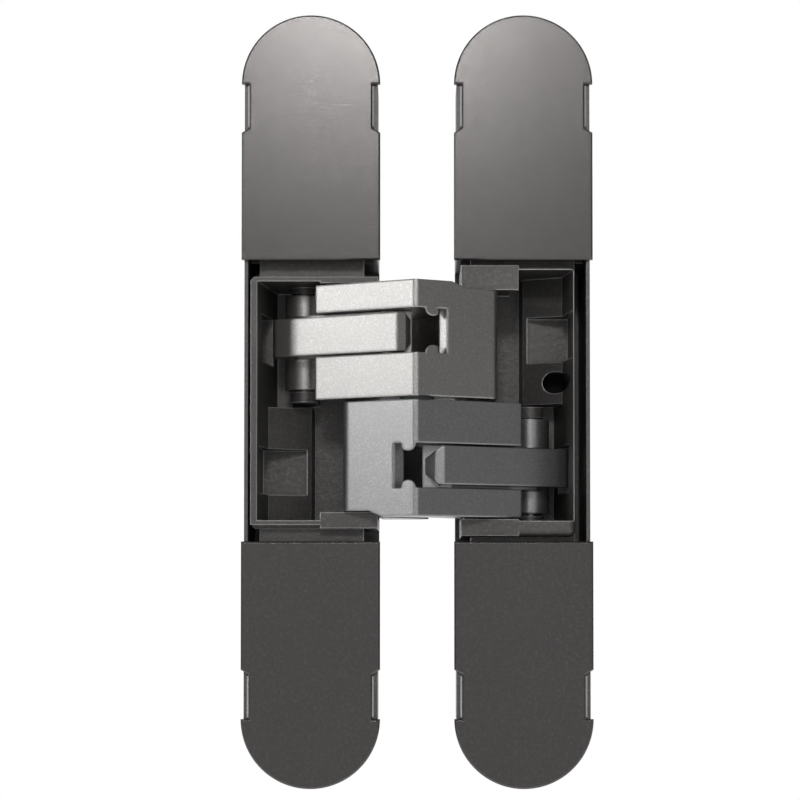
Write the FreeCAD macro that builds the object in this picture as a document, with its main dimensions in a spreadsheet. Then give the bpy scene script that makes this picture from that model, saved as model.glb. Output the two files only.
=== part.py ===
import FreeCAD, Part
import math
import os

from FreeCAD import Placement, Rotation, Vector

# Concealed door hinge, lying open at 180 degrees, in millimetres.
# X runs across the two leaves, -Y faces the viewer, Z runs along the pivots.
# The origin is the centre of the left leaf's fixing holes, half way through their plain walls.

SIZES = [
    ("leaf_pitch", "36.8"), ("leaf_length", "133.2"), ("leaf_width", "23.1"),
    ("leaf_depth", "24.3"), ("end_depth", "12"), ("wall", "0.65"),
    ("flange_thick", "3.6"), ("floor_thick", "3"), ("window_half", "24.6"),
    ("block_half", "33"), ("block_edge", "2.5"), ("end_wall", "1.6"), ("end_rib", "1.6"),
    ("cap_width", "24"), ("cap_thick", "1.2"), ("cap_over", "0.4"),
    ("cap_tip", "=leaf_length / 2 + cap_over"), ("notch_reach", "20.5"),
    ("cap_inner", "24.4"), ("cap_edge", "0.25"), ("snap_length", "5"), ("snap_radius", "1.25"),
    ("snap_inset", "6.5"), ("notch_depth", "1.35"), ("notch_low", "=cap_tip - notch_reach"), ("notch_slope", "0.8"),
    ("screw_x", "6"), ("screw_z", "50"), ("screw_hole", "2.3"), ("sink_depth", "2"),
    ("pivot_x", "8.4"), ("link_x", "-1.6"), ("link_y", "11.3"),
    ("centre_y", "-5.4"), ("eye_x", "11.8"), ("eye_y", "3.0"),
    ("arm_low", "0.3"), ("arm_high", "20.2"), ("slot_low", "7.7"), ("slot_high", "15.4"),
    ("lever_low", "8.1"), ("lever_high", "14.7"), ("apex_y", "-8.6"),
    ("prong_reach", "17.9"), ("prong_slope", "0.577"), ("face_slope", "0.6"),
    ("face_reach", "14"), ("face_round", "2"), ("hub_radius", "3"), ("pin_radius", "1.6"),
    ("main_pin_radius", "1.8"), ("link_pin_radius", "1.5"), ("barrel_radius", "3.4"),
    ("barrel_low", "2.6"), ("barrel_high", "19.3"), ("running", "0.05"),
    ("eye_boss", "2.8"), ("sweep_radius", "10.4"), ("sweep_shift", "2"), ("slot_reach", "5.35"),
    ("bump_radius", "1.35"), ("bump_at", "2.75"), ("bump_depth", "0.75"), ("corner", "0.5"),
    ("bend_offset", "0.25"), ("bend_half", "0.4"), ("lower_shift", "1.2"), ("side_gap", "0.1"),
    ("cup_half", "20.5"), ("cup_wall", "1.15"), ("cup_base", "1.6"), ("seat_gap", "0.1"),
    ("rim", "0.2"), ("end_thin", "0.8"), ("end_thick", "2.7"), ("end_step", "0.6"),
    ("rim_round", "1"), ("wall_slope", "0.13"), ("carrier_edge", "0.6"), ("hole_x", "-6.2"),
    ("hole_z", "-4.1"), ("hole_radius", "1.9"), ("hole_half", "0.35"), ("left_outer", "1.05"),
    ("left_inner", "0.05"), ("right_outer", "2.55"), ("right_inner", "-0.75"),
    ("arm_share", "0.338"), ("lever_share", "0.32"),
    ("lug_reach", "10"), ("lug_low", "19.3"), ("lug_depth", "1.8"), ("ramp_x", "-0.5"), ("ramp_y", "14.8"),
    ("ramp_slope", "0.53"), ("recess_right", "-1.3"), ("recess_half", "4.05"), ("recess_z", "11.8"),
    ("recess_floor", "16.2"), ("boss_radius", "2.4"), ("boss_high", "19.7"),
    ("hub_room", "1.3"), ("tongue_half", "9.1"), ("tongue_front", "3.4"),
    ("tongue_thick", "2.6"), ("tongue_tip", "38"), ("clamp_z", "31"),
    ("clamp_radius", "1.9"), ("clamp_head", "3.4"), ("left_high", "21.6"), ("left_low", "-22.1"),
    ("right_high", "23.5"), ("right_low", "-23.6"), ("pin_inset", "0.5"), ("rib_low", "0.4"),
    ("rib_high", "2.3"), ("centre_low", "-7"), ("eye_low", "1.4"), ("eye_high", "19"),
    ("washer_radius", "2.9"), ("clamp_core", "1.4"), ("socket", "1.7"), ("height_travel", "2.4"),
    ("side_travel", "1.2"), ("origin_depth", "2.8"),
]

doc = FreeCAD.newDocument("hinge")
sheet = doc.addObject("Spreadsheet::Sheet", "Sizes")
for row, (alias, value) in enumerate(SIZES, start=1):
    sheet.set("A%d" % row, alias)
    sheet.set("B%d" % row, value)
    sheet.setAlias("B%d" % row, alias)
doc.recompute()


def size(alias):
    return float(getattr(sheet, alias))


HINGE_X = size("leaf_pitch") / 2
CUP_BACK = size("leaf_depth") - size("floor_thick") - size("seat_gap")
CUP_FLOOR = CUP_BACK - size("cup_base")
PIVOT_Y = CUP_FLOOR - size("hub_room") - size("hub_radius")
SNAP_Z = size("cap_tip") - size("snap_inset")
LEAF_HALF = size("leaf_width") / 2
# Shapes are drawn from the flange face, then set back to the origin inside the fixing holes.
HERE = Placement(Vector(0, -size("origin_depth"), 0), Rotation())
# Turning a part half round the view axis through the hinge centre gives its twin.
TWIN = Placement(Vector(size("leaf_pitch"), -size("origin_depth"), 0), Rotation(Vector(0, 1, 0), 180))
FUZZ = 0.01


def box(x0, x1, y0, y1, z0, z1):
    return Part.makeBox(x1 - x0, y1 - y0, z1 - z0, Vector(x0, y0, z0))


def post(x, y, radius, z0, z1):
    """A cylinder standing along the pivots."""
    return Part.makeCylinder(radius, z1 - z0, Vector(x, y, z0))


def bore(x, z, radius, y0, y1):
    """A cylinder along the depth of the leaf."""
    return Part.makeCylinder(radius, y1 - y0, Vector(x, y0, z), Vector(0, 1, 0))


def prism(points, z0, z1):
    """A plan outline raised between two heights."""
    corners = [Vector(x, y, z0) for x, y in points]
    wire = Part.makePolygon(corners + corners[:1])
    return Part.Face(wire).extrude(Vector(0, 0, z1 - z0))


def soften(shape, radius, wanted):
    """Rounds the edges that the test picks."""
    picked = [edge for edge in shape.Edges if wanted(edge)]
    return shape.makeFillet(radius, picked) if picked else shape


def along_z(edge):
    low, high = edge.Vertexes[0].Point, edge.Vertexes[-1].Point
    return isinstance(edge.Curve, Part.Line) and abs(low.z - high.z) > (low - high).Length - FUZZ


def add(label, shape, twin=False):
    """Puts a finished solid in the document under its node name."""
    item = doc.addObject("Part::Feature", label)
    item.Label = label
    item.Shape = shape
    item.Placement = TWIN if twin else HERE
    return item


def plan(points):
    """Arm outlines are drawn from the hinge centre, prongs to the left."""
    return [(HINGE_X + x, y) for x, y in points]


def new_body(label):
    body = doc.addObject("PartDesign::Body", label)
    body.Label = label
    return body


def front_sketch(body, name, depth=0.0):
    """A sketch across the leaf, X to the right and Z up, lying at a depth."""
    sketch = body.newObject("Sketcher::SketchObject", name)
    plane = [f for f in body.Origin.OriginFeatures if f.Role == "XZ_Plane"][0]
    sketch.AttachmentSupport = (plane, [""])
    sketch.MapMode = "FlatFace"
    sketch.AttachmentOffset = Placement(Vector(0, 0, -depth), Rotation())
    return sketch


def draw(sketch, points):
    """Closes straight lines through the points."""
    for first, second in zip(points, points[1:] + points[:1]):
        sketch.addGeometry(Part.LineSegment(Vector(*first, 0), Vector(*second, 0)), False)


def draw_box(sketch, x0, x1, z0, z1):
    draw(sketch, [(x0, z0), (x1, z0), (x1, z1), (x0, z1)])


def draw_circle(sketch, x, z, radius):
    sketch.addGeometry(Part.Circle(Vector(x, z, 0), Vector(0, 0, 1), radius), False)


def draw_arc(sketch, start, middle, end):
    arc = Part.Arc(Vector(*start, 0), Vector(*middle, 0), Vector(*end, 0))
    sketch.addGeometry(arc, False)


def pad(body, sketch, length, backwards=False):
    """Raises a sketch by a length from the sheet, towards the viewer or away."""
    feature = body.newObject("PartDesign::Pad", sketch.Name + "_pad")
    feature.Profile = sketch
    feature.setExpression("Length", length)
    feature.Reversed = backwards
    sketch.Visibility = False
    return feature


def pocket(body, sketch, length=None):
    """Cuts a sketch into the leaf, to a depth from the sheet or right through."""
    feature = body.newObject("PartDesign::Pocket", sketch.Name + "_pocket")
    feature.Profile = sketch
    if length:
        feature.setExpression("Length", length)
    else:
        feature.Type = 1
    sketch.Visibility = False
    return feature


def trim(body, kind, amount, wanted):
    """Chamfers or fillets the edges that the test picks."""
    doc.recompute()
    tip = body.Tip
    names = ["Edge%d" % (i + 1) for i, edge in enumerate(tip.Shape.Edges) if wanted(edge)]
    feature = body.newObject("PartDesign::" + kind, body.Name + "_" + kind.lower())
    feature.Base = (tip, names)
    feature.setExpression("Size" if kind == "Chamfer" else "Radius", amount)
    return feature


def housing(label, twin=False):
    """One cast leaf: shallow round ends, a deep middle and flange faces for the screws."""
    body = new_body(label)
    tip = size("leaf_length") / 2
    half = LEAF_HALF
    window = size("window_half")
    middle = size("block_half")
    ends = front_sketch(body, label + "_ends")
    straight = tip - half
    ends.addGeometry(Part.LineSegment(Vector(half, -straight, 0), Vector(half, straight, 0)), False)
    draw_arc(ends, (half, straight), (0, tip), (-half, straight))
    ends.addGeometry(Part.LineSegment(Vector(-half, straight, 0), Vector(-half, -straight, 0)), False)
    draw_arc(ends, (-half, -straight), (0, -tip), (half, -straight))
    pad(body, ends, "Sizes.end_depth", True)
    block = front_sketch(body, label + "_block")
    draw_box(block, -half, half, -middle, middle)
    pad(body, block, "Sizes.leaf_depth", True)
    back = size("leaf_depth")
    trim(body, "Chamfer", "Sizes.block_edge", lambda e: abs(e.CenterOfMass.y - back) < FUZZ)
    well = front_sketch(body, label + "_window")
    # The side towards the other leaf is open, so that the arms can fold through it.
    draw_box(well, size("wall") - half, half + 1, -window, window)
    pocket(body, well, "Sizes.leaf_depth - Sizes.floor_thick")
    reach = size("tongue_tip") + size("height_travel") + 0.6
    side = size("tongue_half") + size("side_travel") + 0.4
    seat = front_sketch(body, label + "_tongue_seat")
    draw_box(seat, -side, side, -reach, reach)
    pocket(body, seat, "Sizes.tongue_front + Sizes.tongue_thick + Sizes.seat_gap")
    hollows = front_sketch(body, label + "_hollows", size("flange_thick"))
    inner = half - size("end_wall")
    rib = size("end_rib") / 2
    for x0, x1 in ((-inner, -rib), (rib, inner)):
        draw_box(hollows, x0, x1, reach + 3, straight)
        draw_box(hollows, x0, x1, -straight, -reach - 3)
    pocket(body, hollows)
    holes = front_sketch(body, label + "_holes")
    for z in (-size("screw_z"), size("screw_z")):
        for x in (-size("screw_x"), size("screw_x")):
            draw_circle(holes, x, z, size("screw_hole"))
    pocket(body, holes)
    trim(body, "Chamfer", "Sizes.sink_depth",
         lambda e: abs(e.CenterOfMass.y) < FUZZ and hasattr(e.Curve, "Radius")
         and abs(e.Curve.Radius - size("screw_hole")) < FUZZ)
    bores = front_sketch(body, label + "_bores")
    for z in (-SNAP_Z, SNAP_Z):
        draw_circle(bores, 0, z, size("snap_radius") + size("running"))
    for z in (-size("clamp_z"), size("clamp_z")):
        draw_circle(bores, 0, z, size("clamp_core"))
    pocket(body, bores, "Sizes.end_depth + 1")
    body.Placement = TWIN if twin else HERE


def cover(label, side, twin=False):
    """A flat cover plate with one round end, two side notches and a snap leg."""
    body = new_body(label)
    radius = size("cap_width") / 2
    tip = size("cap_tip")
    low, high = size("notch_low"), tip - radius
    slope, inner = size("notch_slope"), radius - size("notch_depth")
    right = [(radius, size("cap_inner")), (radius, low), (inner, low + slope), (inner, high), (radius, high)]
    points = [(x, side * z) for x, z in right]
    mirrored = [(-x, z) for x, z in reversed(points)]
    plate = front_sketch(body, label + "_plate")
    for run in (points, mirrored, [mirrored[-1], points[0]]):
        for first, second in zip(run, run[1:]):
            plate.addGeometry(Part.LineSegment(Vector(*first, 0), Vector(*second, 0)), False)
    draw_arc(plate, points[-1], (0, side * tip), mirrored[0])
    pad(body, plate, "Sizes.cap_thick")
    face = -size("cap_thick")
    trim(body, "Chamfer", "Sizes.cap_edge", lambda e: abs(e.CenterOfMass.y - face) < FUZZ)
    leg = front_sketch(body, label + "_leg")
    draw_circle(leg, 0, side * SNAP_Z, size("snap_radius"))
    pad(body, leg, "Sizes.snap_length", True)
    body.Placement = TWIN if twin else HERE


def pin(label, spot, radius, low, high, twin=False):
    """A plain pin along the pivots, its radius and ends taken from the sheet."""
    item = doc.addObject("Part::Cylinder", label)
    item.Label = label
    item.setExpression("Radius", "Sizes." + radius)
    item.setExpression("Height", "(%s) - (%s)" % (high, low))
    doc.recompute()
    bottom = size(low.split(" ")[0].replace("Sizes.", "")) + (size("pin_inset") if "+" in low else 0)
    home = TWIN if twin else HERE
    item.Placement = home.multiply(Placement(Vector(spot[0], spot[1], bottom), Rotation()))


def carrier(x_outer, x_inner, z_low, z_high, slot_up):
    """The inner cup that holds the pivots and is clamped to the leaf by its tongues."""
    rim = size("rim")
    rim_wide = size("cup_wall") if slot_up else size("seat_gap") * 2
    end_step = size("end_step") if slot_up else 0
    end_high = size("end_thin") if slot_up else size("end_thick")
    body = box(x_outer, x_inner, rim, CUP_BACK, z_low, z_high)
    body = soften(body, size("rim_round"), lambda e: abs(e.CenterOfMass.x - x_outer) < FUZZ
                  and abs(e.CenterOfMass.z - (z_low + z_high) / 2) > 1)
    back_edges = [e for e in body.Edges if abs(e.CenterOfMass.y - CUP_BACK) < FUZZ]
    body = body.makeChamfer(size("carrier_edge"), back_edges)
    if not slot_up:
        body = soften(body, size("rim_round"), lambda e: abs(e.CenterOfMass.y - rim) < FUZZ
                      and abs(e.CenterOfMass.z - z_high) < FUZZ)
    top_x = x_outer + rim_wide
    base_x = top_x + (CUP_FLOOR - rim) * size("wall_slope")
    outline = [(top_x, -1), (top_x, rim), (base_x, CUP_FLOOR), (x_inner + 1, CUP_FLOOR), (x_inner + 1, -1)]
    hollow = prism(outline, z_low + end_step + size("end_thin"), z_high - end_high)
    body = body.cut(hollow)
    if slot_up:
        body = body.cut(box(x_outer - 1, x_inner - size("lug_reach"), 0, size("tongue_front") - 0.4,
                            z_low - 1, z_low + end_step))
    pieces = [tongues(z_low, z_high), ramp(base_x, z_low + end_step + 0.2), lug(x_inner, z_low)]
    # Solid blocks at both ends hold the main pin.
    left = x_inner - size("lug_reach")
    pieces.append(box(left + 1, x_inner, rim + 0.1, CUP_FLOOR + 0.1, z_low + 0.1, -size("cup_half")))
    pieces.append(box(left, x_inner, rim, CUP_FLOOR + 0.1, size("cup_half"), z_high - 0.1))
    pieces.append(boss(size("rib_low"), size("rib_high")))
    pieces.append(boss(size("boss_high"), z_high - 0.1))
    body = body.multiFuse(pieces).removeSplitter()
    body = body.cut(recess(top_x, not slot_up))
    body = body.cut(clamp_slots(slot_up))
    body = body.cut(post(size("link_x"), size("link_y"), size("link_pin_radius"), size("rib_low"),
                         z_high - size("pin_inset")))
    body = body.cut(post(size("pivot_x"), PIVOT_Y, size("main_pin_radius"),
                         z_low + size("pin_inset"), z_high - size("pin_inset")))
    # Clearance window for the lever's tail in the outer wall.
    body = body.cut(box(x_outer - 1, x_outer + 5, 4.5, 15.5, 7.3, 15.6))
    return body.cut(box(-30, 30, -5, rim, -60, 60))


def tongues(z_low, z_high):
    """The flat tongues above and below the cup that the clamp screws hold."""
    front = size("tongue_front")
    strip = box(-size("tongue_half"), size("tongue_half"), front, front + size("tongue_thick"),
                -size("tongue_tip"), size("tongue_tip"))
    return strip.cut(box(-30, 30, -1, 30, z_low + 0.5, z_high - 0.5))


def boss(z_low, z_high):
    """A boss on a web that carries one end of the lever pin."""
    x, y, radius = size("link_x"), size("link_y"), size("boss_radius")
    web = box(x - radius, x + radius, y, CUP_FLOOR + 0.1, z_low, z_high)
    return web.fuse(post(x, y, radius, z_low, z_high))


def clamp_slots(slot_up):
    """Slots in the tongues, along the direction that this carrier is adjusted in."""
    radius = size("clamp_radius") + 0.2
    tools = []
    for side in (-1, 1):
        z = side * size("clamp_z")
        if slot_up:
            travel = size("height_travel")
            tools.append(box(-radius, radius, 0, 9, z - travel, z + travel))
            tools += [bore(0, z - travel, radius, 0, 9), bore(0, z + travel, radius, 0, 9)]
        else:
            travel = size("side_travel")
            tools.append(box(-travel, travel, 0, 9, z - radius, z + radius))
            tools += [bore(-travel, z, radius, 0, 9), bore(travel, z, radius, 0, 9)]
    return tools[0].multiFuse(tools[1:])


def ramp(base_x, z_low):
    """The slanted bed under the folded arm's face."""
    x, y, slope = size("ramp_x"), size("ramp_y"), size("ramp_slope")
    left = base_x - 2
    outline = [(left, y - (x - left) * slope), (x, y), (x + 0.5, CUP_FLOOR + 0.1), (left, CUP_FLOOR + 0.1)]
    return prism(outline, z_low, -0.3)


def recess(left, with_hole):
    """The square recess in the bed and, on one carrier, an oval access hole."""
    half = size("recess_half")
    z = -size("recess_z")
    tool = box(left + 0.15, size("recess_right"), -1, size("recess_floor"), z - half, z + half)
    if not with_hole:
        return tool
    x, z, radius = size("hole_x"), size("hole_z"), size("hole_radius")
    near, far = x - size("hole_half"), x + size("hole_half")
    back = CUP_BACK - 0.5
    pieces = [bore(near, z, radius, 0, back), bore(far, z, radius, 0, back),
              box(near, far, 0, back, z - radius, z + radius)]
    return tool.multiFuse(pieces)


def lug(x_inner, z_low):
    """The flat boss on the rim of the cup, beside the arm's root."""
    left = x_inner - size("lug_reach")
    block = box(left, x_inner, size("rim"), size("rim") + size("lug_depth"), z_low, -size("lug_low"))
    return soften(block, 1.2, lambda e: abs(e.CenterOfMass.x - x_inner) < FUZZ
                  and abs(e.CenterOfMass.z + size("lug_low")) < FUZZ)


def arm_outline(shift, bend):
    """The plan outline of an arm, its prongs to the left and its root to the right."""
    apex = size("apex_y")
    prong = size("prong_reach") + shift
    half = size("bend_half")
    face = size("face_reach") - shift
    end_y = apex + prong * size("prong_slope")
    face_y = apex + face * size("face_slope")
    root = HINGE_X - size("pivot_x")
    hub = size("hub_radius")
    return [(-prong, end_y), (bend - half, apex + 0.3), (bend + half, apex + 0.3), (face, face_y),
            (face - 0.4, 6), (root + hub, PIVOT_Y),
            (root - hub, PIVOT_Y), (root - hub, 13.4), (-0.6, 13.4), (-2.4, 9.5),
            (-6.6, size("eye_y") + size("eye_boss")), (1 - prong + 2 * shift, end_y + 2.4 - 1.4 * shift)]


def arm(shift, bend):
    """An arm: two prongs with a slot for the lever, a bend and a root with its hub."""
    low, high = size("arm_low"), size("arm_high")
    root = size("leaf_pitch") - size("pivot_x")
    body = prism(plan(arm_outline(shift, bend)), low, high)
    tip_x = HINGE_X - size("prong_reach") - shift + 1.5
    body = soften(body, size("corner"), lambda e: along_z(e) and e.CenterOfMass.x < tip_x)
    root_x = HINGE_X + size("face_reach") - shift - FUZZ
    body = soften(body, size("face_round"), lambda e: along_z(e) and e.CenterOfMass.x > root_x
                  and e.CenterOfMass.y < size("eye_y"))
    body = body.fuse(post(root, PIVOT_Y, size("hub_radius"), low, high)).removeSplitter()
    blank = body.copy()
    apex = size("apex_y")
    reach = size("slot_reach") - shift
    mouth_y = apex + reach * size("face_slope")
    low_y = mouth_y + 1.9
    slot = prism(plan([(-40, -40), (reach + 0.8, -40), (reach, mouth_y + FUZZ), (reach - 2, low_y),
                       (-6.6, 3), (-6.6, 30), (-40, 30)]), size("slot_low"), size("slot_high"))
    along = size("sweep_shift")
    slot = slot.fuse(post(size("eye_x") + along - shift / 4, size("eye_y") - along / 3,
                          size("sweep_radius") - shift / 4, size("slot_low"), size("slot_high")))
    body = body.cut(slot)
    for z in (size("slot_low"), size("slot_high")):
        at = size("bump_at") - shift
        bottom = apex + at * size("face_slope") + size("bump_depth")
        bump = bore(HINGE_X + at, z, size("bump_radius"), -12, bottom)
        body = body.fuse(bump.common(blank))
    body = body.removeSplitter()
    body = body.cut(relief(root))
    loose = size("pin_radius") + size("running")
    main_loose = size("main_pin_radius") + size("running")
    body = body.cut(post(HINGE_X, size("centre_y"), loose, low - 1, size("slot_low") - 0.6))
    body = body.cut(post(root, PIVOT_Y, main_loose, low - 1, high + 1))
    return body.cut(post(size("eye_x"), size("eye_y"), size("pin_radius"), size("eye_low"), size("eye_high")))


def relief(root):
    """The step in the arm's end face that lets it fold past the rim's boss."""
    level = size("lug_low") - 0.15
    near = PIVOT_Y - size("lug_depth") - 0.5
    far = math.hypot(near + size("lug_depth") + 0.3, size("lug_reach") - 1.2) + 0.5
    ring = post(root, PIVOT_Y, far, level, 30).cut(post(root, PIVOT_Y, near, level, 30))
    edge = root - 1.6
    corner = [Vector(edge, -30, level), Vector(edge + 30, -30, level), Vector(edge + 30, -30, 30),
              Vector(edge - 3.0, -30, 30), Vector(edge - 3.0, -30, level + 1.3)]
    return ring.fuse(Part.Face(Part.makePolygon(corner + corner[:1])).extrude(Vector(0, 80, 0)))


def open_eye():
    """How far the arm's pin strays in the open eye of the lever, half way through the fold."""
    def turn(x, y, angle):
        return (x * math.cos(angle) - y * math.sin(angle), x * math.sin(angle) + y * math.cos(angle))
    half = math.pi / 4
    share, lever_share = size("arm_share"), size("lever_share")
    px, py = -size("pivot_x"), PIVOT_Y
    cx, cy = turn(-HINGE_X - px, size("centre_y") - py, (1 - share) * half)
    dx, dy = turn(HINGE_X - size("eye_x"), size("eye_y") - size("centre_y"), (1 + share) * half)
    qx, qy = -size("link_x"), size("link_y")
    strays = (px + cx + dx - qx, py + cy + dy - qy)
    back = turn(strays[0], strays[1], -lever_share * half)
    return (size("link_x") - back[0], size("link_y") + back[1])


def lever(shift):
    """A lever: a bar flush with the prongs, a barrel on its pin and an open eye."""
    apex, slope = size("apex_y"), size("prong_slope")
    low, high = size("lever_low"), size("lever_high")
    def face(x):
        return (-x, apex + x * slope)
    nose = [(-2.0 - shift, -5.9), (-1.1 - shift, -3.9)]
    under = [(-1.6 - shift, 1.2), (-3.4 - shift / 2, 6.4), (-6.0, size("eye_y") + 4.4), (-14, 10.2),
             (-20, size("link_y") + size("barrel_radius")), (-23.2, size("link_y") + 1)]
    tail = 25 + shift
    outline = [face(tail), face(3.5 + shift)] + nose + under + [(-tail - 0.4, face(tail)[1] + 1.6)]
    body = prism(plan(outline), low, high)
    tail_x = HINGE_X - tail + 0.5
    body = soften(body, size("corner"), lambda e: along_z(e) and e.CenterOfMass.x < tail_x)
    # The nose narrows towards its tip.
    near, far, drop = -1.9 - shift, 1.0 - shift, 3.2
    for z, sign in ((high, 1), (low, -1)):
        wedge = [Vector(HINGE_X + near, -20, z), Vector(HINGE_X + far, -20, z),
                 Vector(HINGE_X + far, -20, z - sign * drop)]
        cut = Part.Face(Part.makePolygon(wedge + wedge[:1])).extrude(Vector(0, 40, 0))
        body = body.cut(cut)
    # Behind its face the bar is as wide as the slot.
    back = [(-21, face(21)[1] + 2.6), (-4.5 - shift, face(4.5 + shift)[1] + 2.6), nose[1]] + under
    gap = size("side_gap")
    body = body.fuse(prism(plan(back), size("slot_low") + gap, size("slot_high") - gap))
    x, y = size("link_x"), size("link_y")
    barrel = post(x, y, size("barrel_radius"), size("barrel_low"), size("barrel_high"))
    body = body.fuse(barrel).removeSplitter()
    far_x, far_y = open_eye()
    radius = size("pin_radius") + 0.45
    near = Vector(size("eye_x"), size("eye_y"), low - 1)
    far = Vector(far_x, far_y, low - 1)
    body = body.cut(post(near.x, near.y, radius, low - 1, high + 1))
    body = body.cut(post(far.x, far.y, radius, low - 1, high + 1))
    side = (far - near).cross(Vector(0, 0, 1)).normalize() * radius
    band = [near + side, far + side, far - side, near - side]
    body = body.cut(Part.Face(Part.makePolygon(band + band[:1])).extrude(Vector(0, 0, high - low + 2)))
    return body.cut(post(x, y, size("link_pin_radius") + size("running"), 0, 25))


def clamp_screws():
    """The two screws that clamp a carrier's tongues in its leaf."""
    screws = []
    front = size("tongue_front") - 0.7
    back = size("tongue_front") + size("tongue_thick")
    for side in (-1, 1):
        z = side * size("clamp_z")
        head = bore(0, z, size("clamp_head"), front - 2, front)
        socket = [Vector(size("socket") * math.cos(turn), front - 1.1, z + size("socket") * math.sin(turn))
                  for turn in (math.pi * step / 3 for step in range(6))]
        head = head.cut(Part.Face(Part.makePolygon(socket + socket[:1])).extrude(Vector(0, -2, 0)))
        shank = bore(0, z, size("clamp_radius") - 0.1, front, back + 0.1)
        thread = bore(0, z, size("clamp_core"), front, back + 6)
        screws.append(head.multiFuse([shank, thread]).removeSplitter())
    return Part.makeCompound(screws)


def clamp_washers():
    """Square washers between the screw heads and the tongues."""
    front = size("tongue_front")
    plates = []
    for side in (-1, 1):
        z = side * size("clamp_z")
        plate = box(-4.6, 4.6, front - 0.7, front, z - 4.4, z + 4.4)
        plates.append(plate.cut(bore(0, z, size("clamp_radius") - 0.1, 0, 9)))
    return Part.makeCompound(plates)


def build():
    housing("left_housing")
    housing("right_housing", True)
    cover("left_top_cover", 1)
    cover("left_bottom_cover", -1)
    cover("right_bottom_cover", 1, True)
    cover("right_top_cover", -1, True)
    near, far = size("left_outer") - LEAF_HALF, size("left_inner") + LEAF_HALF
    add("left_carrier", carrier(near, far, size("left_low"), size("left_high"), True))
    near, far = size("right_outer") - LEAF_HALF, size("right_inner") + LEAF_HALF
    cup = carrier(near, far, size("right_low"), size("right_high"), False)
    add("right_carrier", cup, twin=True)
    add("upper_arm", arm(0, -size("bend_offset")))
    add("lower_arm", arm(size("lower_shift"), size("bend_offset")), twin=True)
    add("upper_lever", lever(0))
    add("lower_lever", lever(size("lower_shift")), twin=True)
    add("left_clamp_screws", clamp_screws())
    add("right_clamp_screws", clamp_screws(), twin=True)
    add("left_clamp_washers", clamp_washers())
    add("right_clamp_washers", clamp_washers(), twin=True)
    main = (size("pivot_x"), PIVOT_Y)
    link = (size("link_x"), size("link_y"))
    centre = (HINGE_X, size("centre_y"))
    eye = (size("eye_x"), size("eye_y"))
    for side, twin in (("left", False), ("right", True)):
        low = "Sizes.%s_low + Sizes.pin_inset" % side
        high = "Sizes.%s_high - Sizes.pin_inset" % side
        pin(side + "_main_pin", main, "main_pin_radius", low, high, twin)
        pin(side + "_lever_pin", link, "link_pin_radius", "Sizes.rib_low", high, twin)
    pin("centre_pin", centre, "pin_radius", "Sizes.centre_low", "-Sizes.centre_low")
    for name, twin in (("upper_eye_pin", False), ("lower_eye_pin", True)):
        pin(name, eye, "pin_radius", "Sizes.eye_low", "Sizes.eye_high", twin)
    top = size("arm_low") - 0.02
    washer = post(centre[0], centre[1], size("washer_radius"), -top, top)
    hole = post(centre[0], centre[1], size("pin_radius") + size("running"), -1, 1)
    add("centre_washer", washer.cut(hole))


build()
doc.recompute()
os.makedirs("parts", exist_ok=True)
for item in doc.Objects:
    if item.TypeId not in ("Part::Feature", "Part::Cylinder", "PartDesign::Body"):
        continue
    if "Invalid" in item.State or "Error" in item.State:
        raise RuntimeError(item.Label + " failed")
    if item.Shape.isNull() or not item.Shape.isValid():
        raise RuntimeError(item.Label + " has no valid solid")
    item.Shape.exportStep("parts/" + item.Label + ".step")
    print(item.Label, len(item.Shape.Solids), round(item.Shape.Volume, 1))
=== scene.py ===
import logging
import math
from dataclasses import dataclass, field
from enum import Enum
from typing import Dict, List, Optional, Sequence, Tuple

import bmesh
import bpy
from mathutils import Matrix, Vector


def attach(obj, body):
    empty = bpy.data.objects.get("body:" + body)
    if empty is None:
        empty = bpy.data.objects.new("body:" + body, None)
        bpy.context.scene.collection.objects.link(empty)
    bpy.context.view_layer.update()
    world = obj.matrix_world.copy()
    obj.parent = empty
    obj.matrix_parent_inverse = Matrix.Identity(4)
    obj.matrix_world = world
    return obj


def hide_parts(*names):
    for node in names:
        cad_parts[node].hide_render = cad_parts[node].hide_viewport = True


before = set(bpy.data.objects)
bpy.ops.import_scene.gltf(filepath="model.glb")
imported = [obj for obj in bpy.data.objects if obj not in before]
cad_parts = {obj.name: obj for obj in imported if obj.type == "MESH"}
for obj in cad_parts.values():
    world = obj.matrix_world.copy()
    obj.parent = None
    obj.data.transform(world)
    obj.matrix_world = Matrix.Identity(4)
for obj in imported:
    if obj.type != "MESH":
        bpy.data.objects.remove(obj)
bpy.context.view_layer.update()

logging.basicConfig(level=logging.INFO, format="%(message)s")
LOG = logging.getLogger("hinge")

MM = 0.001
HINGE_X = 18.4 * MM
PITCH = 36.8 * MM
FACE_Y = -4.0 * MM
SET_BACK = 2.8 * MM

SLOT_LEVELS = (7.6, 15.5)
WEB_LEVELS = (7.8, 15.3)
LEVER_LEVELS = (8.1, 14.7)
SAME_POINT = 0.05 * MM
DOUBLE_POINT = 0.002 * MM

SPOT_SCALE_SHARE = 0.45
CLOUD_SCALE = 90.0
CAST_SCALE = 1100.0
DARK_SHARE = 0.45
CLOUD_STRENGTH = 0.04
ROUGH_BELOW = 0.07
ROUGH_ABOVE = 0.08
EDGE_SAMPLES = 6
GRAIN_STRENGTH = 0.6
CAST_STRENGTH = 0.7
BEVEL_SEGMENTS = 2
BEVEL_FROM = math.radians(35)

Colour = Tuple[float, float, float]
Spot = Tuple[float, float]


class Leaf(Enum):
    """The two leaves, each with the body that its housing and covers ride on."""

    LEFT = "left_leaf"
    RIGHT = "right_leaf"


class Section(Enum):
    """Names of the record's material slots."""

    HOUSING = "housing"
    COVER = "cover"
    CARRIER = "carrier"
    ARM = "arm"
    LEVER = "lever"
    STEEL = "steel"
    BUSHING = "bushing"


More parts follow.
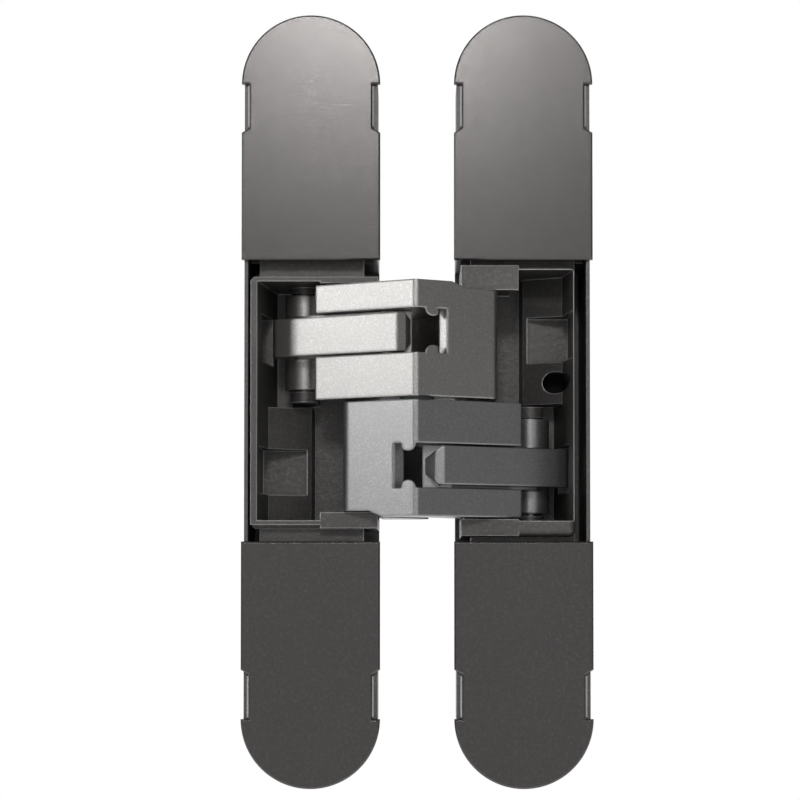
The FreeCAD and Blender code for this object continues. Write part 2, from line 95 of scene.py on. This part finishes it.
@dataclass(frozen=True)
class Finish:
    """A coated or bare metal surface with grain, speckle, edges lightened as wear and as a painted
    highlight, and fine bumps.

    Attributes:
        name: Name of the material.
        base: Base colour, linear.
        light: Colour of the lighter grains and of the edges, worn and with a painted highlight.
        metallic: Metallic share of the surface.
        roughness: Mean roughness.
        grain: Scale of the fine grain, per metre.
        speckle: Strength of the dark and bright speckles.
        bump: Depth of the grain, in metres.
        wear_and_highlight: How strongly edges lighten, as wear and as a painted highlight.
        edge_width: Width of the lightened edge, in metres.
        coarse: Depth of the coarse casting texture, in metres.
    """

    name: str
    base: Colour
    light: Colour
    metallic: float = 0.6
    roughness: float = 0.4
    grain: float = 4200.0
    speckle: float = 0.25
    bump: float = 0.00002
    wear_and_highlight: float = 0.3
    edge_width: float = 0.0003
    coarse: float = 0.0

    def build(self) -> bpy.types.Material:
        """Makes the node material.

        Returns:
            The finished material.
        """
        material = bpy.data.materials.new(self.name)
        material.use_nodes = True
        tree = material.node_tree
        shader = tree.nodes["Principled BSDF"]
        shader.inputs["Metallic"].default_value = self.metallic
        coords = tree.nodes.new("ShaderNodeTexCoord").outputs["Object"]
        fine = self._noise(tree, coords, self.grain, 3.0)
        spots = self._noise(tree, coords, self.grain * SPOT_SCALE_SHARE, 1.0)
        cloud = self._noise(tree, coords, CLOUD_SCALE, 4.0)
        plain = tree.nodes.new("ShaderNodeRGB").outputs[0]
        plain.default_value = (*self.base, 1)
        bright = self._ramp(tree, spots, 0.50, 0.72)
        speckled = self._mix(tree, bright, plain, self.light, self.speckle)
        dark = tuple(share * DARK_SHARE for share in self.base)
        pits = self._ramp(tree, fine, 0.60, 0.42)
        pitted = self._mix(tree, pits, speckled, dark, self.speckle)
        veil = self._ramp(tree, cloud, 0.35, 0.75)
        shaded = self._mix(tree, veil, pitted, self.light, CLOUD_STRENGTH)
        rounded = tree.nodes.new("ShaderNodeBevel")
        rounded.samples = EDGE_SAMPLES
        rounded.inputs["Radius"].default_value = self.edge_width
        # Edges lightened towards the light colour: part coat wear, part a painted highlight on the
        # rims.
        worn_and_highlit = self._mix(tree, self._edges(tree, rounded), shaded, self.light, self.wear_and_highlight)
        tree.links.new(worn_and_highlit, shader.inputs["Base Color"])
        rough = tree.nodes.new("ShaderNodeMapRange")
        rough.inputs["To Min"].default_value = self.roughness - ROUGH_BELOW
        rough.inputs["To Max"].default_value = self.roughness + ROUGH_ABOVE
        tree.links.new(fine, rough.inputs["Value"])
        tree.links.new(rough.outputs["Result"], shader.inputs["Roughness"])
        self._bumps(tree, coords, fine, rounded, shader)
        return material

    def _edges(self, tree: bpy.types.NodeTree,
               rounded: bpy.types.Node) -> bpy.types.NodeSocket:
        """Finds the edges, where a coat wears thin and where rims get a painted highlight.

        Args:
            tree: The material's node tree.
            rounded: The node that rounds the edges.

        Returns:
            A value socket, 1 on an edge.
        """
        geometry = tree.nodes.new("ShaderNodeNewGeometry")
        facing = tree.nodes.new("ShaderNodeVectorMath")
        facing.operation = "DOT_PRODUCT"
        tree.links.new(rounded.outputs["Normal"], facing.inputs[0])
        tree.links.new(geometry.outputs["Normal"], facing.inputs[1])
        return self._ramp(tree, facing.outputs["Value"], 0.995, 0.90)

    def _bumps(self, tree: bpy.types.NodeTree, coords: bpy.types.NodeSocket,
               fine: bpy.types.NodeSocket, rounded: bpy.types.Node,
               shader: bpy.types.Node) -> None:
        """Adds the fine grain and the coarse casting texture to the normal.

        Args:
            tree: The material's node tree.
            coords: Object coordinates.
            fine: The fine grain.
            rounded: The node that rounds the edges.
            shader: The surface shader.
        """
        bump = tree.nodes.new("ShaderNodeBump")
        bump.inputs["Distance"].default_value = self.bump
        bump.inputs["Strength"].default_value = GRAIN_STRENGTH
        tree.links.new(fine, bump.inputs["Height"])
        if self.coarse:
            cast = tree.nodes.new("ShaderNodeBump")
            cast.inputs["Distance"].default_value = self.coarse
            cast.inputs["Strength"].default_value = CAST_STRENGTH
            texture = self._noise(tree, coords, CAST_SCALE, 3.0)
            tree.links.new(texture, cast.inputs["Height"])
            tree.links.new(rounded.outputs["Normal"], cast.inputs["Normal"])
            tree.links.new(cast.outputs["Normal"], bump.inputs["Normal"])
        else:
            tree.links.new(rounded.outputs["Normal"], bump.inputs["Normal"])
        tree.links.new(bump.outputs["Normal"], shader.inputs["Normal"])

    @staticmethod
    def _noise(tree: bpy.types.NodeTree, coords: bpy.types.NodeSocket, scale: float,
               detail: float) -> bpy.types.NodeSocket:
        """Makes a noise value.

        Args:
            tree: The material's node tree.
            coords: Object coordinates.
            scale: Scale of the noise, per metre.
            detail: Octaves.

        Returns:
            A value socket.
        """
        node = tree.nodes.new("ShaderNodeTexNoise")
        node.inputs["Scale"].default_value = scale
        node.inputs["Detail"].default_value = detail
        tree.links.new(coords, node.inputs["Vector"])
        return node.outputs["Fac"]

    @staticmethod
    def _ramp(tree: bpy.types.NodeTree, value: bpy.types.NodeSocket, low: float,
              high: float) -> bpy.types.NodeSocket:
        """Stretches a value so that low gives 0 and high gives 1.

        Args:
            tree: The material's node tree.
            value: The value to stretch.
            low: Value that gives 0.
            high: Value that gives 1.

        Returns:
            A value socket.
        """
        node = tree.nodes.new("ShaderNodeMapRange")
        node.inputs["From Min"].default_value = low
        node.inputs["From Max"].default_value = high
        tree.links.new(value, node.inputs["Value"])
        return node.outputs["Result"]

    @staticmethod
    def _mix(tree: bpy.types.NodeTree, mask: bpy.types.NodeSocket, under: bpy.types.NodeSocket,
             over: Sequence[float], strength: float) -> bpy.types.NodeSocket:
        """Lays a colour over another one where a mask allows.

        Args:
            tree: The material's node tree.
            mask: Where the upper colour shows.
            under: The lower colour.
            over: The upper colour.
            strength: Share of the upper colour at full mask.

        Returns:
            A colour socket.
        """
        share = tree.nodes.new("ShaderNodeMath")
        share.operation = "MULTIPLY"
        share.inputs[1].default_value = strength
        tree.links.new(mask, share.inputs[0])
        node = tree.nodes.new("ShaderNodeMix")
        node.data_type = "RGBA"
        tree.links.new(share.outputs[0], node.inputs["Factor"])
        tree.links.new(under, node.inputs["A"])
        node.inputs["B"].default_value = (*over, 1)
        return node.outputs["Result"]


COVER = Finish("cover_coat", (0.105, 0.100, 0.098), (0.22, 0.21, 0.205), metallic=0.8,
               roughness=0.22, grain=3800.0, speckle=0.19, wear_and_highlight=0.6, edge_width=0.0002)
HOUSING = Finish("housing_coat", (0.14, 0.134, 0.130), (0.33, 0.32, 0.31), metallic=0.7,
                 roughness=0.42, speckle=0.22, coarse=0.00005, wear_and_highlight=0.4, edge_width=0.0002)
# The carrier's near-white edge colour is mostly a painted highlight on the cup rims, with some
# wear.
CARRIER = Finish("carrier_coat", (0.108, 0.103, 0.100), (0.80, 0.79, 0.78), metallic=0.5,
                 roughness=0.42, speckle=0.05, coarse=0.00010, wear_and_highlight=1.0, edge_width=0.0003)
ARM = Finish("arm_coat", (0.42, 0.41, 0.40), (0.85, 0.84, 0.83), metallic=0.85,
             roughness=0.31, grain=7500.0, speckle=0.30, wear_and_highlight=0.30, edge_width=0.0005)
# Darker copy of the arm coat for the lower arm and lower lever: painted shade, as the lower parts
# stand in less light.
ARM_SHADED = Finish("arm_coat_dull", (0.36, 0.36, 0.36), (0.70, 0.70, 0.70), metallic=0.85,
                 roughness=0.33, grain=7500.0, speckle=0.30, wear_and_highlight=0.30, edge_width=0.0005)
# Pale finish of the notch lips: a painted highlight.
LIP_HIGHLIGHT = Finish("lip_metal", (0.66, 0.65, 0.64), (0.85, 0.84, 0.83), metallic=0.3,
             roughness=0.45)
STEEL = Finish("pin_steel", (0.30, 0.29, 0.28), (0.55, 0.54, 0.53), metallic=1.0,
               roughness=0.32)
# Near-black finish of the disc in the access hole: painted shade.
PAINTED_SHADE = Finish("hole_black", (0.004, 0.004, 0.004), (0.01, 0.01, 0.01), metallic=0.0,
               roughness=0.9, speckle=0.1, wear_and_highlight=0.0)
BUSHING = Finish("washer_plastic", (0.02, 0.02, 0.02), (0.06, 0.06, 0.06), metallic=0.0,
                 roughness=0.5)


@dataclass
class Piece:
    """A CAD node carried over, with its coat and the softened edges of a casting.

    Attributes:
        node: Name of the CAD node.
        section: Material slot in the record.
        edge: Width of the edge rounding, in metres.
        own: A finish of its own, or None for the slot's finish.
    """

    node: str
    section: Section
    edge: float = 0.00025
    own: Optional[Finish] = None

    def dress(self, materials: Dict[Section, bpy.types.Material]) -> None:
        """Gives the node its material and rounds its edges.

        Args:
            materials: The materials by slot.
        """
        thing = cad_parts[self.node]
        thing.data.materials.clear()
        thing.data.materials.append(self.own.build() if self.own else materials[self.section])
        if self.edge:
            bevel = thing.modifiers.new("soft_edges", "BEVEL")
            bevel.width = self.edge
            bevel.segments = BEVEL_SEGMENTS
            bevel.limit_method = "ANGLE"
            bevel.angle_limit = BEVEL_FROM
            bevel.harden_normals = True
        LOG.info("dressed %s", self.node)


@dataclass
class Prism:
    """A small cast form, an outline raised between two levels, in millimetres.

    Attributes:
        name: Name of the piece.
        body: The body that it rides on.
        section: Material slot in the record; not used.
        outline: Outline as drawn for the left and upper parts.
        levels: The two levels, heights for a plan outline and depths for a front one.
        twin: True for the part turned half round the view axis.
        front: True where the outline is seen from the front.
    """

    name: str
    body: str
    section: Section
    outline: Sequence[Spot]
    levels: Spot
    twin: bool = False
    front: bool = False

    def build(self, material: bpy.types.Material) -> None:
        """Builds the form and lets it ride.

        Args:
            material: Its material.
        """
        shape = bmesh.new()
        rings = [[shape.verts.new(placed(a, level, b, self.twin) if self.front else
                                  placed(a, b, level, self.twin)) for a, b in self.outline]
                 for level in self.levels]
        for start in range(len(self.outline)):
            after = (start + 1) % len(self.outline)
            shape.faces.new((rings[0][start], rings[0][after], rings[1][after], rings[1][start]))
        for ring in rings:
            shape.faces.new(ring)
        bmesh.ops.recalc_face_normals(shape, faces=shape.faces)
        finish_piece(shape, self.name, self.body, material)


@dataclass
class LeverForm:
    """A lever as it is seen: the node with the corners of its nose cut and its flanks set.

    Attributes:
        node: The CAD node that it stands for.
        moves: Pairs of plan points, as drawn, that move from the first to the second.
        corners: For the two corners, how far the cut runs along and across the bar.
        tip: Where the nose ends, as drawn.
        twin: True for the lower lever.
    """

    node: str
    moves: Sequence[Tuple[Spot, Spot]]
    corners: Tuple[Spot, Spot]
    tip: float
    twin: bool = False

    def build(self, material: bpy.types.Material) -> None:
        """Builds the lever's visible form.

        Args:
            material: Its material.
        """
        shape = bmesh.new()
        shape.from_mesh(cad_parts[self.node].data)
        bmesh.ops.remove_doubles(shape, verts=shape.verts, dist=DOUBLE_POINT)
        for vert in shape.verts:
            for source, target in self.moves:
                here = placed(*source, 0, self.twin)
                there = placed(*target, 0, self.twin)
                if (vert.co.xy - here.xy).length < SAME_POINT:
                    vert.co.x, vert.co.y = there.x, there.y
                    break
        low, high = LEVER_LEVELS
        sides = ((high, 1, self.corners[0]), (low, -1, self.corners[1]))
        for level, sign, (along, across) in sides:
            start = placed(self.tip - along, 0, level, self.twin)
            end = placed(self.tip, 0, level - sign * across, self.twin)
            normal = (end - start).cross(Vector((0, 1, 0)))
            outward = placed(self.tip, 0, level, self.twin) - start
            if normal.dot(outward) < 0:
                normal.negate()
            everything = shape.verts[:] + shape.edges[:] + shape.faces[:]
            cut = bmesh.ops.bisect_plane(shape, geom=everything, plane_co=start,
                                         plane_no=normal.normalized(), clear_outer=True)
            rim = [item for item in cut["geom_cut"] if isinstance(item, bmesh.types.BMEdge)]
            bmesh.ops.triangle_fill(shape, edges=rim, use_beauty=True, normal=normal)
        bmesh.ops.recalc_face_normals(shape, faces=shape.faces)
        thing = finish_piece(shape, self.node + "_form", self.node, material)
        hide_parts(self.node)


def placed(x: float, y: float, z: float, twin: bool) -> Vector:
    """Turns a drawn point into its place in metres.

    Args:
        x: Across the leaves, in millimetres.
        y: Depth behind the flange face, in millimetres.
        z: Height in millimetres.
        twin: True to turn it half round the view axis.

    Returns:
        The place in metres.
    """
    if twin:
        return Vector((PITCH - x * MM, y * MM - SET_BACK, -z * MM))
    return Vector((x * MM, y * MM - SET_BACK, z * MM))


def finish_piece(shape: bmesh.types.BMesh, name: str, body: str,
                 material: bpy.types.Material) -> bpy.types.Object:
    """Turns a built shape into an object that rides on its body.

    Args:
        shape: The built shape.
        name: Name of the piece.
        body: The body that it rides on.
        material: Its material.

    Returns:
        The object.
    """
    mesh = bpy.data.meshes.new(name)
    shape.to_mesh(mesh)
    shape.free()
    mesh.materials.append(material)
    thing = bpy.data.objects.new(name, mesh)
    bpy.context.collection.objects.link(thing)
    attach(thing, body)
    LOG.info("built %s", name)
    return thing


@dataclass
class Mechanism:
    """The folding linkage: arms, levers, pins and the two carriers.

    Attributes:
        pieces: The CAD nodes that belong to it.
    """

    pieces: List[Piece] = field(default_factory=lambda: [
        # The lower arm takes the darker arm coat: painted shade.
        Piece("upper_arm", Section.ARM, 0.00035), Piece("lower_arm", Section.ARM, 0.00035, ARM_SHADED),
        Piece("left_carrier", Section.CARRIER), Piece("right_carrier", Section.CARRIER),
        *(Piece(name, Section.STEEL, 0.0002) for name in (
            "left_main_pin", "right_main_pin", "left_lever_pin", "right_lever_pin", "centre_pin",
            "upper_eye_pin", "lower_eye_pin")),
        Piece("centre_washer", Section.BUSHING, 0.0),
    ])

    def build(self, materials: Dict[Section, bpy.types.Material]) -> None:
        """Dresses every piece and adds the visible forms of the slots.

        Args:
            materials: The materials by slot.
        """
        for piece in self.pieces:
            piece.dress(materials)
        # The lower lever, its web and the lower arm's ramp take the darker arm coat: painted shade.
        shaded_arm_coat = ARM_SHADED.build()
        LeverForm("upper_lever", [], ((1.1, 1.2), (1.1, 1.6)), 17.4).build(
            materials[Section.LEVER])
        flanks = [((16.1, -3.9), (17.0, -3.9)), ((15.6, 1.2), (16.5, 1.2))]
        LeverForm("lower_lever", flanks, ((1.6, 1.4), (2.3, 1.7)), 16.4, twin=True).build(shaded_arm_coat)
        # A black disc near the access hole's floor: painted shade that makes the hole read deep.
        Prism("access_hole_bottom", "right_cup", Section.BUSHING, self._oval(), (17.5, 20.6),
              twin=True, front=True).build(PAINTED_SHADE.build())
        web = [(12.4, -3.3), (17.5, -3.3), (17.2, 1.2), (12.4, 1.2)]
        Prism("upper_lever_web", "upper_lever", Section.LEVER, web, WEB_LEVELS).build(
            materials[Section.LEVER])
        Prism("lower_lever_web", "lower_lever", Section.LEVER, web, WEB_LEVELS,
              twin=True).build(shaded_arm_coat)
        ramp = [(23.75, -5.39), (22.20, -4.49), (22.30, -4.12), (22.54, -3.77), (23.6, -4.8)]
        Prism("upper_arm_ramp", "upper_arm", Section.ARM, ramp, SLOT_LEVELS).build(
            materials[Section.ARM])
        ramp = [(22.55, -6.11), (20.7, -5.04), (20.8, -4.67), (21.1, -4.32), (22.4, -5.52)]
        Prism("lower_arm_ramp", "lower_arm", Section.ARM, ramp, SLOT_LEVELS,
              twin=True).build(shaded_arm_coat)

    @staticmethod
    def _oval(centre: Spot = (-6.2, -4.1), radius: float = 1.84, half: float = 0.35,
              steps: int = 12) -> List[Spot]:
        """Draws the outline of the black disc at the access hole's bottom, painted shade for the
        deep hole.

        Args:
            centre: Centre of the hole, as drawn.
            radius: Radius of its round ends.
            half: Half the distance between the ends' centres.
            steps: Spans of one round end.

        Returns:
            The outline's points.
        """
        ends = []
        for step in range(steps + 1):
            turn = math.pi * (0.5 + step / steps)
            ends.append((centre[0] - half + radius * math.cos(turn),
                         centre[1] + radius * math.sin(turn)))
        return ends + [(2 * centre[0] - x, 2 * centre[1] - z) for x, z in ends]


@dataclass
class LeafSet:
    """One leaf with its housing, covers and clamp screws.

    Attributes:
        leaf: Which leaf.
    """

    leaf: Leaf

    def build(self, materials: Dict[Section, bpy.types.Material]) -> None:
        """Dresses the housing, covers, screws and washers.

        Args:
            materials: The materials by slot.
        """
        side = self.leaf.name.lower()
        Piece(side + "_housing", Section.HOUSING, 0.0002).dress(materials)
        self._lips(side)
        for cover in ("_top_cover", "_bottom_cover"):
            Piece(side + cover, Section.COVER, 0.00012).dress(materials)
        for small in ("_clamp_screws", "_clamp_washers"):
            Piece(side + small, Section.STEEL, 0.00012).dress(materials)

    def _lips(self, side: str) -> None:
        """Builds the pale lips that show in the covers' side notches; their pale colour is a
        painted highlight on the notches' sides.

        Args:
            side: Name of the leaf's side.
        """
        inner, outer = 10.55, 10.95
        front, chamfer, back = -0.95, -0.8, 0.0
        start, stop = 47.6, 54.7
        highlight_paint = LIP_HIGHLIGHT.build()
        for end, place in ((-1, "low"), (1, "high")):
            for edge, letter in ((-1, "a"), (1, "b")):
                outline = [(edge * inner, front), (edge * outer, chamfer),
                           (edge * outer, back), (edge * inner, back)]
                Prism("%s_lip_%s_%s" % (side, place, letter), self.leaf.value, Section.COVER,
                      outline, (end * start, end * stop),
                      twin=self.leaf is Leaf.RIGHT).build(highlight_paint)


@dataclass
class Studio:
    """The pale floor, the soft lights and the camera.

    Attributes:
        distance: From the camera to the covers' faces, in metres.
        pixels: Focal length in pixels of the picture.
        width: Width of the picture in pixels.
        sensor: Width of the sensor in millimetres.
        horizon: Height of the camera in metres.
        tilt: How far the camera looks up, in degrees.
        shift_x: Sideways shift of the lens, as a share of the sensor.
        shift_y: Upward shift of the lens, as a share of the sensor.
        grey: Brightness of the surround that lights the hinge.
        behind: Share of the surround, towards the back, that reflections see as white.
    """

    distance: float = 0.450
    pixels: float = 2610.0
    width: int = 800
    sensor: float = 36.0
    horizon: float = -0.0339
    tilt: float = 1.9
    shift_x: float = -0.0214
    shift_y: float = 0.1375
    grey: float = 0.22
    behind: float = 0.4

    def build(self) -> None:
        """Builds the whole studio."""
        self._world()
        self._floor()
        self._camera()
        self._lamp("key", (-0.70, -0.39, 0.155), 0.20, 0.84)
        self._lamp("crown", (-0.02, -0.72, 0.27), 0.10, 0.76)
        self._lamp("front", (0.10, -0.90, -0.05), 0.90, 1.0)

    def _world(self) -> None:
        """Makes a grey surround with a white backdrop, which the camera sees on all sides."""
        world = bpy.data.worlds.new("studio")
        bpy.context.scene.world = world
        world.use_nodes = True
        tree = world.node_tree
        background = tree.nodes["Background"]
        background.inputs["Strength"].default_value = 1.0
        mix = tree.nodes.new("ShaderNodeMix")
        mix.data_type = "RGBA"
        mix.inputs["A"].default_value = (self.grey, self.grey, self.grey, 1)
        mix.inputs["B"].default_value = (1, 1, 1, 1)
        split = tree.nodes.new("ShaderNodeSeparateXYZ")
        direction = tree.nodes.new("ShaderNodeTexCoord").outputs["Generated"]
        tree.links.new(direction, split.inputs[0])
        behind = tree.nodes.new("ShaderNodeMath")
        behind.operation = "GREATER_THAN"
        behind.inputs[1].default_value = self.behind
        tree.links.new(split.outputs["Y"], behind.inputs[0])
        tree.links.new(self._seen(tree, behind.outputs[0]), mix.inputs["Factor"])
        tree.links.new(mix.outputs["Result"], background.inputs["Color"])

    @staticmethod
    def _seen(tree: bpy.types.NodeTree,
              share: Optional[bpy.types.NodeSocket] = None) -> bpy.types.NodeSocket:
        """Tells which rays see the white: the camera's, mirrored and refracted ones.

        Args:
            tree: The node tree.
            share: Where mirrored and refracted rays see it, or None for everywhere.

        Returns:
            A value socket, 1 for a ray that sees it.
        """
        path = tree.nodes.new("ShaderNodeLightPath")
        bent = tree.nodes.new("ShaderNodeMath")
        bent.operation = "MAXIMUM"
        tree.links.new(path.outputs["Is Glossy Ray"], bent.inputs[0])
        tree.links.new(path.outputs["Is Transmission Ray"], bent.inputs[1])
        limited = tree.nodes.new("ShaderNodeMath")
        limited.operation = "MULTIPLY"
        limited.inputs[1].default_value = 1.0
        tree.links.new(bent.outputs[0], limited.inputs[0])
        if share:
            tree.links.new(share, limited.inputs[1])
        seen = tree.nodes.new("ShaderNodeMath")
        seen.operation = "MAXIMUM"
        tree.links.new(path.outputs["Is Camera Ray"], seen.inputs[0])
        tree.links.new(limited.outputs[0], seen.inputs[1])
        return seen.outputs[0]

    def _floor(self) -> None:
        """Lays a pale floor under the object and behind it."""
        bpy.ops.mesh.primitive_plane_add(size=4, location=(HINGE_X, 1.8, -0.16))
        floor = bpy.context.object
        floor.name = "floor"
        material = bpy.data.materials.new("floor_white")
        material.use_nodes = True
        tree = material.node_tree
        shader = tree.nodes["Principled BSDF"]
        shader.inputs["Base Color"].default_value = (0.8, 0.8, 0.8, 1)
        shader.inputs["Roughness"].default_value = 0.8
        glow = tree.nodes.new("ShaderNodeEmission")
        mix = tree.nodes.new("ShaderNodeMixShader")
        tree.links.new(self._seen(tree), mix.inputs[0])
        tree.links.new(shader.outputs[0], mix.inputs[1])
        tree.links.new(glow.outputs[0], mix.inputs[2])
        tree.links.new(mix.outputs[0], tree.nodes["Material Output"].inputs["Surface"])
        floor.data.materials.append(material)

    def _camera(self) -> None:
        """Places the camera so that the frame matches the photograph."""
        data = bpy.data.cameras.new("camera")
        data.sensor_width = self.sensor
        data.lens = self.pixels * self.sensor / self.width
        data.shift_x = self.shift_x
        data.shift_y = self.shift_y
        data.clip_start = 0.01
        camera = bpy.data.objects.new("camera", data)
        camera.location = (HINGE_X, FACE_Y - self.distance, self.horizon)
        camera.rotation_euler = (math.radians(90 + self.tilt), 0, 0)
        bpy.context.collection.objects.link(camera)
        bpy.context.scene.camera = camera

    @staticmethod
    def _lamp(name: str, place: Tuple[float, float, float], width: float,
              power: float) -> None:
        """Adds a soft square lamp that faces the hinge.

        Args:
            name: Name of the lamp.
            place: Its place, in metres from the hinge's centre.
            width: Its width in metres.
            power: Its power in watts.
        """
        data = bpy.data.lights.new(name, "AREA")
        data.size = width
        data.energy = power
        lamp = bpy.data.objects.new(name, data)
        lamp.location = (place[0] + HINGE_X, place[1], place[2])
        aim = Vector((HINGE_X, 0, 0)) - lamp.location
        lamp.rotation_euler = aim.to_track_quat("-Z", "Y").to_euler()
        bpy.context.collection.objects.link(lamp)


def main() -> None:
    """Builds the materials, the hinge and the studio in order."""
    materials = {
        Section.COVER: COVER.build(), Section.HOUSING: HOUSING.build(),
        Section.CARRIER: CARRIER.build(), Section.ARM: ARM.build(),
        Section.STEEL: STEEL.build(), Section.BUSHING: BUSHING.build(),
    }
    materials[Section.LEVER] = materials[Section.ARM]
    for leaf in Leaf:
        LeafSet(leaf).build(materials)
    Mechanism().build(materials)
    Studio().build()
    bpy.context.scene.view_settings.view_transform = "Standard"


if __name__ == "__main__":
    main()
